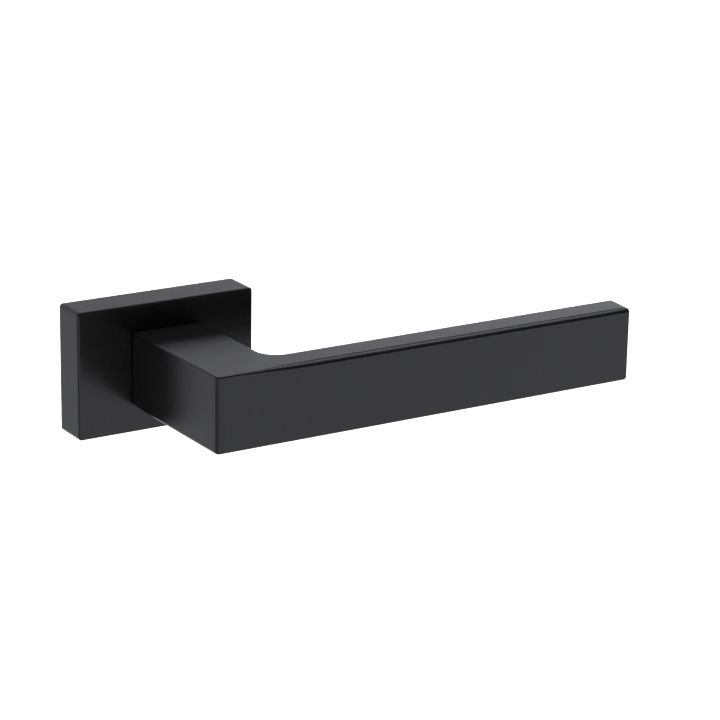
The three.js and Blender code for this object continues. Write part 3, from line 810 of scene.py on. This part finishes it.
def fixing_hole(place):
    """Countersunk hole right through a fixing boss."""
    top = PLATE_LOW.y - SINK
    head, shank = FIXING_HEAD + FIXING_GAP, FIXING_SHANK + FIXING_GAP
    land = top + FIXING_GAP
    cone = land + head - shank
    profile = [(0, top - PAST), (head, top - PAST), (head, land), (shank, cone), (shank, PAST), (0, PAST)]
    return spun("fixing_hole", profile, place)


def clip_pocket(side):
    """Room for a cover clip in the plate's end wall."""
    depth, along, across = 0.7, 0.4, 0.5
    x0, x1 = sorted((side * (PLATE_HIGH.x - depth), side * (PLATE_HIGH.x + PAST)))
    low = (x0, CLIP_LOW.y - along, CLIP_LOW.z - across)
    return block("pocket", low, (x1, CLIP_HIGH.y + along, CLIP_HIGH.z + across))


def stop_window(middle):
    """The gap in the chamber's wall where a stop lug swings, with half a degree to spare at each end."""
    spare = 0.5
    start, end = middle - LUG_HALF_ANGLE - TURN_DEG - spare, middle + LUG_HALF_ANGLE + spare
    back = ROTOR_LOW.y + ROTOR_DISC + SEAT_GAP
    return sector("window", STOP_RADIUS, ROTOR_HIGH.z + 0.2, start, end, WEB_BACK, back)


def leg_slot(wall_back):
    """The slot that holds the spring's fixed leg."""
    half_angle, outer = 4, 17
    front = SPRING_HIGH.y - WIRE - SEAT_GAP
    start, end = FIXED_LEG - half_angle, FIXED_LEG + half_angle
    return sector("slot", STOP_RADIUS, outer, start, end, front, wall_back + PAST)


def hub_bush():
    """Flanged bearing bush."""
    bore = SHANK_RADIUS + RUNNING_GAP
    lip_back = BUSH_LOW.y + BUSH_FLANGE
    profile = [
        (bore, BUSH_LOW.y, 0.1), (BUSH_HIGH.x, BUSH_LOW.y, 0.1), (BUSH_HIGH.x, lip_back, 0.08),
        (BUSH_SLEEVE, lip_back, 0.05), (BUSH_SLEEVE, BUSH_HIGH.y, 0.1), (bore, BUSH_HIGH.y, 0.1),
    ]
    return shade(lathe("bush", profile))


def return_spring():
    """One and a half turns of wire: the front leg on the rotor's tab, the back leg in the plate's slot."""
    front, back = SPRING_LOW.y + WIRE / 2, SPRING_HIGH.y - WIRE / 2

    def place(radius, degrees, y):
        angle = math.radians(degrees)
        return (radius * math.cos(angle), y, radius * math.sin(angle))

    bend_radius, bend_angle = BEND_MIDDLE
    route = [place(radius, MOVING_LEG, front) for radius in MOVING_LEG_RADII]
    route.append(place(bend_radius, MOVING_LEG + bend_angle, front))
    steps = 160
    for i in range(steps + 1):
        t = i / steps
        angle = MOVING_LEG + LEG_BEND + (FIXED_LEG - MOVING_LEG - 2 * LEG_BEND) * t
        route.append(place(COIL_RADIUS, angle, front + (back - front) * t))
    route.append(place(bend_radius, FIXED_LEG - bend_angle, back))
    route += [place(radius, FIXED_LEG, back) for radius in FIXED_LEG_RADII]
    return shade(tube("spring", route, WIRE / 2), WIRE_CREASE)


def backing_plate():
    """Sheet with a bore, two curved slots, notches round the fixing bosses and four screw holes."""
    front, back = BACKING_LOW.y, BACKING_HIGH.y
    outline = rectangle(BACKING_HIGH.x, BACKING_HIGH.z, BACKING_CORNER, arc_steps=8)
    plate = pillow("backing", outline, front, back, 0.1, steps=2)
    start, end = front - PAST, back + PAST
    holes = [drill(TAIL_RADIUS + RUNNING_GAP, start, end)]
    for side, middle in ((1, 0), (-1, 180)):
        holes.append(drill(FIXING_BOSS + FIXING_GAP, start, end, (side * FIXING_X, 0), 64))
        angles = middle - ARC_SLOT_HALF_ANGLE, middle + ARC_SLOT_HALF_ANGLE
        holes.append(sector("slot", *ARC_SLOT_RADII, *angles, start, end))
    holes += [drill(PILOT_RADIUS + PILOT_GAP, start, end, place, HOLE_STEPS) for place in PILOT_PLACES]
    return shade(cut(plate, *holes), CUT_CREASE)


def cover_clip(side):
    """Bowed leaf of spring steel with rounded corners."""
    low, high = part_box("cover_clip_left" if side < 0 else "cover_clip_right")
    low, high = low / MM, high / MM
    seat, crest = sorted((abs(low.x), abs(high.x)))
    middle, half = (low.y + high.y) / 2, (high.y - low.y) / 2
    corner, corner_share = 0.6, 0.2  # what the ends lose in height, and the share of the leaf that takes
    rows = []
    steps = 24
    for i in range(steps + 1):
        t = 2 * i / steps - 1
        x = seat + (crest - seat - CLIP_SHEET) * (1 - t * t)
        z = high.z - corner * max(abs(t) - 1 + corner_share, 0) / corner_share
        y = middle + half * t
        section = (x, -z), (x + CLIP_SHEET, -z), (x + CLIP_SHEET, z), (x, z)
        rows.append([(side * u, y, v) for u, v in section])
    return shade(skin("leaf", rows), CUT_CREASE)


# ---- Screws ----
THREAD_RINGS = 8  # rings of a mesh in one turn of a thread
CREST_SLOPE = 2.2  # over 1, so that the crests stand apart


def turned_screw(name, profile, depth, pitch, start, end, centre=(0, 0), count=32):
    """A turned profile with a thread that stands out of it between two stations."""
    fine = []
    for (r0, y0), (r1, y1) in zip(profile, profile[1:]):
        threaded = y1 > start and y0 < end
        pieces = max(1, round((y1 - y0) / pitch * THREAD_RINGS)) if threaded else 1
        fine += [(r0 + (r1 - r0) * k / pieces, y0 + (y1 - y0) * k / pieces) for k in range(pieces)]
    fine.append(profile[-1])
    rings = []
    for radius, y in fine:
        fade = smoothstep(y, start, start + pitch) * (1 - smoothstep(y, end - pitch, end))
        row = []
        for k in range(count):
            angle = 2 * math.pi * k / count
            phase = (y / pitch - k / count) % 1
            crest = max(0, 1 - abs(2 * phase - 1) * CREST_SLOPE)
            reach = max(radius + depth * fade * crest, POLE)
            row.append((centre[0] + reach * math.cos(angle), y, centre[1] + reach * math.sin(angle)))
        rings.append(row)
    return skin(name, rings)


def cross_recess(centre, y, reach, depth):
    """Two blades that cut a cross in a screw's head, wider above the head and narrow at the bottom."""
    thin = 0.22 * reach
    levels = (y - 0.5, 1.1), (y + depth, 0.35)
    blades = []
    for half_x, half_z in ((reach, thin), (thin, reach)):
        rows = []
        for level, scale in levels:
            u, v = half_x * scale, half_z * scale
            section = (-u, -v), (u, -v), (u, v), (-u, v)
            rows.append([(centre[0] + x, level, centre[1] + z) for x, z in section])
        blades.append(skin("blade", rows))
    return blades


def fixing_screw(side):
    """Countersunk wood screw."""
    low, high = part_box("fixing_screw_left" if side < 0 else "fixing_screw_right")
    top, tip = low.y / MM, high.y / MM
    centre = (side * FIXING_X, 0)
    core, shank = 1.35, FIXING_SHANK - 0.2
    thread = FIXING_SHANK - core
    chamfer, rim, plain, taper, point = 0.15, 0.35, 2.5, 0.8, 3.6
    neck = top + rim + FIXING_HEAD - FIXING_SHANK
    start, end = neck + plain, tip - 0.8
    profile = [
        (0, top), (FIXING_HEAD - chamfer, top), (FIXING_HEAD, top + chamfer), (FIXING_HEAD, top + rim),
        (shank, neck), (shank, start), (core, start + taper), (core, tip - point),
        (0.12, tip - 0.05), (0, tip),
    ]
    screw = turned_screw("wood_screw", profile, thread, 1.8, start, end, centre, count=36)
    return shade(cut(screw, *cross_recess(centre, top, reach=2.1, depth=1.9)), SCREW_CREASE)


def backing_screw(index):
    """Small pan-head screw that holds the backing plate, its head at the back."""
    low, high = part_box(f"backing_screw_{index + 1}")
    top, end = high.y / MM, low.y / MM
    centre = PILOT_PLACES[index]
    seat = BACKING_HIGH.y
    head, shank, thread = 1.9, 0.9, 0.12
    root = shank - thread
    profile = [
        (0, end), (root - 0.08, end), (root, end + 0.2), (root, seat), (head, seat), (head, seat + 0.35),
        (head - 0.12, seat + 0.6), (head - 0.5, top - 0.08), (0.5, top), (0, top),
    ]
    screw = turned_screw("pan_screw", profile, thread, 0.6, end + 0.3, seat - 0.3, centre)
    recess, wide, thin = 0.55, 1.0, 0.22
    blades = []
    for half_x, half_z in ((wide, thin), (thin, wide)):
        low_corner = (centre[0] - half_x, top - recess, centre[1] - half_z)
        high_corner = (centre[0] + half_x, top + PAST, centre[1] + half_z)
        blades.append(block("blade", low_corner, high_corner))
    return shade(cut(screw, *blades), SCREW_CREASE)


# ---- Light, floor and camera ----
CAMERA_ANGLES = (-32.163, 17.495, 1.038)  # azimuth, elevation and roll, in degrees
CAMERA_DISTANCE = 0.74417  # in metres, like the other lengths here but the lens
CAMERA_ASIDE = 0.05841  # to the right of the spindle's axis
CAMERA_LOWERED = 0.0019
CAMERA_LENS = 134.965  # in millimetres, as is the sensor
CAMERA_SENSOR = 36
FLOOR_LEVEL = -0.13
FLOOR_HALF = 1.2
LAMP_HEIGHT = 2
LAMP_SIZE = 2
LAMP_WATTS = 110
SKY_STRENGTH = 2.2
SKY_TINT = (0.975, 0.985, 1.055, 1.0)
SKY_HEIGHTS = (  # height angle in degrees, brightness
    (-180, 0.06), (-176, 0.46), (-170, 0.50), (-152, 0.50), (-128, 0.32), (-60, 0.28), (-32, 0.47),
    (0, 0.41), (20, 0.41), (27, 0.60), (30, 0.52), (34, 0.02), (54, 0.02), (60, 1.25), (72, 1.25),
    (88, 0.38), (114, 0.10), (146, 0.02),
)
SKY_LOW = (0.34, 0.5)  # how far up or down the side angle stops counting
SKY_HIGH = (0.4, 0.5)  # how far up the softbox overhead starts
SOFTBOX_STEP = (0.44, 0.49)  # how far to the right the softbox comes up from dim to full
SOFTBOX_END = (0.50, 0.64)  # and where it fades to dim again
SOFTBOX_DIM = 0.4
SKY_SIDES = (  # side angle in degrees, brightness
    (-180, 0.87), (-170, 0.80), (-150, 0.62), (-110, 0.52), (-60, 0.56), (-30, 0.66), (-24, 0.60),
    (-10, 0.45), (20, 0.42), (27, 0.46), (31, 0.62), (38, 0.79), (46, 0.87), (56, 0.40), (66, 0.10),
    (78, 0.18), (104, 0.18), (118, 1.0), (136, 0.95), (148, 0.87),
)


def camera():
    """A long lens in front of the handle, to its left and above, aimed past the lever's middle."""
    azimuth, elevation, roll = (math.radians(angle) for angle in CAMERA_ANGLES)
    level = math.cos(elevation)
    back = Vector((math.sin(azimuth) * level, -math.cos(azimuth) * level, math.sin(elevation)))
    across = Vector((math.cos(azimuth), math.sin(azimuth), 0))
    above = back.cross(across)
    right = across * math.cos(roll) + above * math.sin(roll)
    up = above * math.cos(roll) - across * math.sin(roll)
    data = bpy.data.cameras.new("camera")
    data.sensor_width = CAMERA_SENSOR
    data.lens = CAMERA_LENS
    data.clip_start = 0.01
    obj = bpy.data.objects.new("camera", data)
    bpy.context.scene.collection.objects.link(obj)
    axes = Matrix((right, up, back)).transposed().to_4x4()
    place = back * CAMERA_DISTANCE + right * CAMERA_ASIDE - up * CAMERA_LOWERED
    obj.matrix_world = Matrix.Translation(place) @ axes
    bpy.context.scene.camera = obj


def floor():
    """A plain pale floor well under the handle, which hangs on its door fixing."""
    data = bpy.data.meshes.new("floor")
    made = bmesh.new()
    signs = (-1, -1), (1, -1), (1, 1), (-1, 1)
    made.faces.new([made.verts.new((x * FLOOR_HALF, y * FLOOR_HALF, FLOOR_LEVEL)) for x, y in signs])
    made.to_mesh(data)
    made.free()
    obj = bpy.data.objects.new("floor", data)
    bpy.context.scene.collection.objects.link(obj)
    paint = Shader("floor_paint", Roughness=0.9)
    paint.surface.inputs["Specular IOR Level"].default_value = 0.0
    paint.drive("Base Color", paint.mix(paint.noise(40), (0.92, 0.92, 0.92), (0.94, 0.94, 0.94)))
    obj.data.materials.append(paint.material)
    obj.visible_glossy = False  # reflections of the floor come from the sky's lower half
    obj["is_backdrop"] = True


def sky():
    """Studio surroundings as a map of brightness by direction, and plain white where the camera looks past.

    The height angle turns round the X axis: 0 is the back, 90 overhead, 180 the front. The side angle turns
    round the Z axis: 0 is the back, 90 the right. It counts only for light that comes from low down.
    """
    world = bpy.data.worlds.new("studio")
    bpy.context.scene.world = world
    world.use_nodes = True
    tree = world.node_tree
    place = tree.nodes.new("ShaderNodeTexCoord").outputs["Generated"]
    split = tree.nodes.new("ShaderNodeSeparateXYZ")
    tree.links.new(place, split.inputs["Vector"])
    x, y, z = (split.outputs[axis] for axis in "XYZ")

    def by_angle(over, along, stops):
        """A ramp over the angle whose tangent is over / along, from (degrees, level) stops."""
        angle = tree.nodes.new("ShaderNodeMath")
        angle.operation = "ARCTAN2"
        tree.links.new(over, angle.inputs[0])
        tree.links.new(along, angle.inputs[1])
        ramp = tree.nodes.new("ShaderNodeValToRGB")
        turn = map_range(tree, angle.outputs["Value"], (-math.pi, math.pi), (0, 1))
        tree.links.new(turn, ramp.inputs["Fac"])
        elements = ramp.color_ramp.elements
        while len(elements) < len(stops):
            elements.new(0.5)
        for element, (degrees, level) in zip(elements, stops):
            element.position = (degrees + 180) / 360
            element.color = (level, level, level, 1)
        return ramp.outputs["Color"]

    def mixed(blend, factor, a, b):
        mix = tree.nodes.new("ShaderNodeMix")
        mix.data_type = "RGBA"
        mix.blend_type = blend
        for socket, value in (("Factor", factor), ("A", a), ("B", b)):
            if isinstance(value, (float, tuple)):
                mix.inputs[socket].default_value = value
            else:
                tree.links.new(value, mix.inputs[socket])
        return mix.outputs["Result"]

    heights = by_angle(z, y, SKY_HEIGHTS)
    sides = by_angle(x, y, SKY_SIDES)
    steepness = tree.nodes.new("ShaderNodeMath")
    steepness.operation = "ABSOLUTE"
    tree.links.new(z, steepness.inputs[0])
    low_down = map_range(tree, steepness.outputs["Value"], SKY_LOW, (1, 0))
    high_up = map_range(tree, z, SKY_HIGH, (0, 1))
    light = mixed("MULTIPLY", low_down, heights, sides)
    light = mixed("MULTIPLY", high_up, light, map_range(tree, x, SOFTBOX_END, (1, SOFTBOX_DIM)))
    light = mixed("MULTIPLY", high_up, light, map_range(tree, x, SOFTBOX_STEP, (SOFTBOX_DIM, 1)))
    light = mixed("MULTIPLY", 1.0, light, SKY_TINT)
    ray = tree.nodes.new("ShaderNodeLightPath")
    seen = mixed("MIX", ray.outputs["Is Camera Ray"], light, (1.0, 1.0, 1.0, 1.0))
    background = tree.nodes["Background"]
    tree.links.new(seen, background.inputs["Color"])
    background.inputs["Strength"].default_value = SKY_STRENGTH


def lamp():
    """A wide soft light overhead for the floor; the coating reflects only the sky."""
    data = bpy.data.lights.new("overhead", "AREA")
    data.shape = "SQUARE"
    data.size = LAMP_SIZE
    data.energy = LAMP_WATTS
    obj = bpy.data.objects.new("overhead", data)
    obj.location = (0, 0, LAMP_HEIGHT)
    obj.visible_glossy = False
    bpy.context.scene.collection.objects.link(obj)


def build():
    coat, zinc, plated = black_coat(), cast_zinc(), plated_steel()
    spring, acetal, nylon = spring_steel(), white_acetal(), black_nylon()
    stand_for("lever", lever(), coat)
    stand_for("spindle", spindle(), plated)
    stand_for("grub_screw", grub_screw(), spring)
    stand_for("spring_rotor", spring_rotor(), zinc)
    stand_for("thrust_washer", thrust_washer(), acetal)
    stand_for("wave_washer", wave_washer(), spring)
    stand_for("retaining_ring", retaining_ring(), spring)
    stand_for("rose_cover", rose_cover(), coat)
    stand_for("cover_ring", cover_ring(), nylon)
    stand_for("mounting_plate", mounting_plate(), zinc)
    stand_for("hub_bush", hub_bush(), acetal)
    stand_for("return_spring", return_spring(), spring)
    stand_for("backing_plate", backing_plate(), plated)
    for i in range(4):
        stand_for(f"backing_screw_{i + 1}", backing_screw(i), plated)
    for name, side in (("left", -1), ("right", 1)):
        stand_for(f"fixing_screw_{name}", fixing_screw(side), plated)
        stand_for(f"cover_clip_{name}", cover_clip(side), spring)


camera()
floor()
sky()
lamp()
build()
bpy.context.scene.view_settings.view_transform = "Standard"

sizes = {"cad": cad_bounds, "visual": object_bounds()}
{key: [list(corner) for corner in box] for key, box in sizes.items()}
